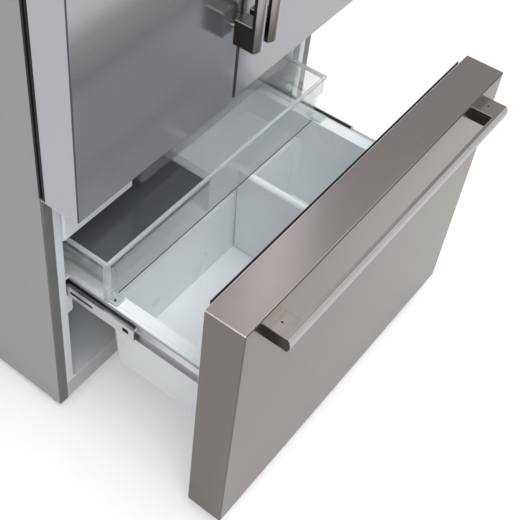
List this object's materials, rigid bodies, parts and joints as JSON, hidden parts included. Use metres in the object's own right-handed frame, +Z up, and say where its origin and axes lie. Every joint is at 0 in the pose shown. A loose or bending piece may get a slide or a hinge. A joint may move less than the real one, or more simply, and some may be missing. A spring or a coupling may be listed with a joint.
{
  "type": "american fridge freezer",
  "caption": "free-standing fridge freezer: two hinged doors over one wide freezer drawer on telescopic slides",
  "frame": {"origin": "on the floor, under the middle of the overall box; the drawer stands open as at rest", "axes": "x to the right seen from the front, y from front to back, z up"},
  "size_m": [0.9, 1.156, 1.79],
  "materials": {
    "stainless": "fine brushed stainless, satin",
    "case_steel": "grey enamel, low gloss",
    "rear_steel": "zinc-coated sheet with thin grey paint",
    "handle_steel": "brushed along its length, brighter on the bow",
    "white_plastic": "moulded, soft sheen",
    "clear_plastic": "clear moulding with polished faces",
    "shelf_glass": "tempered, polished",
    "dark_panel": "dark smoked gloss",
    "black_rubber": "matt soft seal",
    "dark_plastic": "fine grain",
    "light_grey_plastic": "fine grain",
    "slide_steel": "bright zinc plating",
    "zinc_steel": "dull zinc plating",
    "bare_aluminium": "bare rolled fins",
    "black_steel": "black enamel, semi-gloss",
    "foam": "closed-cell foam, hidden"
  },
  "bodies": {
    "cabinet": {"side_panel_left": "case_steel", "side_panel_right": "case_steel", "top_panel": "case_steel", "back_panel": "rear_steel", "machine_cover": "rear_steel", "foam_insulation": "foam", "fridge_liner": "white_plastic", "freezer_liner": "white_plastic", "mid_rail": "case_steel", "base_frame": "rear_steel", "toe_panel": "light_grey_plastic", "levelling_feet": "dark_plastic", "compressor": "black_steel", "condenser": "bare_aluminium", "evaporator": "bare_aluminium", "evaporator_cover": "white_plastic", "fridge_duct_cover": "white_plastic", "shelf_frames": "white_plastic", "lower_shelf_glass": "shelf_glass", "upper_shelf_glass": "shelf_glass", "crisper_frame": "white_plastic", "crisper_cover_glass": "shelf_glass", "top_hinges": "zinc_steel", "mid_hinges": "zinc_steel", "hinge_covers": "dark_plastic", "ice_maker_housing": "white_plastic", "upper_basket": "clear_plastic", "slide_outer_rails": "slide_steel", "slide_mount_blocks": "white_plastic", "sync_racks": "white_plastic"},
    "left_door": {"left_door_skin": "stainless", "left_door_liner": "white_plastic", "left_door_gasket": "black_rubber", "left_door_handle": "handle_steel", "left_door_bins": "clear_plastic"},
    "right_door": {"right_door_skin": "stainless", "right_door_liner": "white_plastic", "right_door_gasket": "black_rubber", "right_door_handle": "handle_steel", "right_door_bins": "clear_plastic"},
    "flip_mullion": {"flip_mullion": "light_grey_plastic"},
    "crisper_left": {"crisper_left": "clear_plastic"},
    "crisper_right": {"crisper_right": "clear_plastic"},
    "freezer_drawer": {"drawer_skin": "stainless", "drawer_liner": "white_plastic", "drawer_gasket": "black_rubber", "drawer_handle": "handle_steel", "drawer_arms": "slide_steel", "freezer_bin": "white_plastic", "bin_divider": "white_plastic", "slide_inner_rails": "slide_steel"},
    "slide_middle_left": {"slide_middle_left": "slide_steel"},
    "slide_middle_right": {"slide_middle_right": "slide_steel"},
    "tray": {"tray_shell": "clear_plastic", "tray_panel": "dark_panel"},
    "sync_shaft": {"sync_shaft": "slide_steel"},
    "condenser_fan": {"condenser_fan": "dark_plastic"},
    "evaporator_fan": {"evaporator_fan": "white_plastic"},
    "rear_rollers": {"rear_rollers": "dark_plastic"}
  },
  "joints": [
    {"name": "left_door", "type": "hinge", "parent": "cabinet", "child": "left_door", "pos_m": [-0.428, -0.116, 1.2], "axis": [0, 0, -1], "range_deg": [0, 130]},
    {"name": "right_door", "type": "hinge", "parent": "cabinet", "child": "right_door", "pos_m": [0.428, -0.116, 1.2], "axis": [0, 0, 1], "range_deg": [0, 130]},
    {"name": "drawer_slide", "type": "slide", "parent": "cabinet", "child": "freezer_drawer", "axis": [0, -1, 0], "range_m": [-0.37, 0.06]},
    {"name": "slide_mid_left", "type": "slide", "parent": "cabinet", "child": "slide_middle_left", "axis": [0, -1, 0], "range_m": [-0.185, 0.03]},
    {"name": "slide_mid_right", "type": "slide", "parent": "cabinet", "child": "slide_middle_right", "axis": [0, -1, 0], "range_m": [-0.185, 0.03]},
    {"name": "tray_slide", "type": "slide", "parent": "freezer_drawer", "child": "tray", "axis": [0, -1, 0], "range_m": [0, 0.24]},
    {"name": "sync_shaft", "type": "hinge", "parent": "freezer_drawer", "child": "sync_shaft", "pos_m": [0, 0.049, 0.328], "axis": [-1, 0, 0], "continuous": true},
    {"name": "crisper_left", "type": "slide", "parent": "cabinet", "child": "crisper_left", "axis": [0, -1, 0], "range_m": [0, 0.2]},
    {"name": "crisper_right", "type": "slide", "parent": "cabinet", "child": "crisper_right", "axis": [0, -1, 0], "range_m": [0, 0.2]},
    {"name": "flip_mullion", "type": "hinge", "parent": "left_door", "child": "flip_mullion", "pos_m": [-0.038, -0.0527, 1.2235], "axis": [0, 0, -1], "range_deg": [0, 90]},
    {"name": "condenser_fan", "type": "hinge", "parent": "cabinet", "child": "condenser_fan", "pos_m": [-0.29, 0.4281, 0.128], "axis": [1, 0, 0], "continuous": true},
    {"name": "evaporator_fan", "type": "hinge", "parent": "cabinet", "child": "evaporator_fan", "pos_m": [0, 0.476, 0.54976], "axis": [0, 1, 0], "continuous": true},
    {"name": "rear_rollers", "type": "hinge", "parent": "cabinet", "child": "rear_rollers", "pos_m": [0, 0.534, 0.018], "axis": [1, 0, 0], "continuous": true}
  ],
  "couplings": [
    {"joint": "slide_mid_left", "follows": "drawer_slide", "ratio": 0.5},
    {"joint": "slide_mid_right", "follows": "drawer_slide", "ratio": 0.5},
    {"joint": "sync_shaft", "follows": "drawer_slide", "rad_per_m": 40},
    {"joint": "crisper_left", "follows": "left_door", "m_per_rad": 0.088147},
    {"joint": "crisper_right", "follows": "right_door", "m_per_rad": 0.088147}
  ]
}
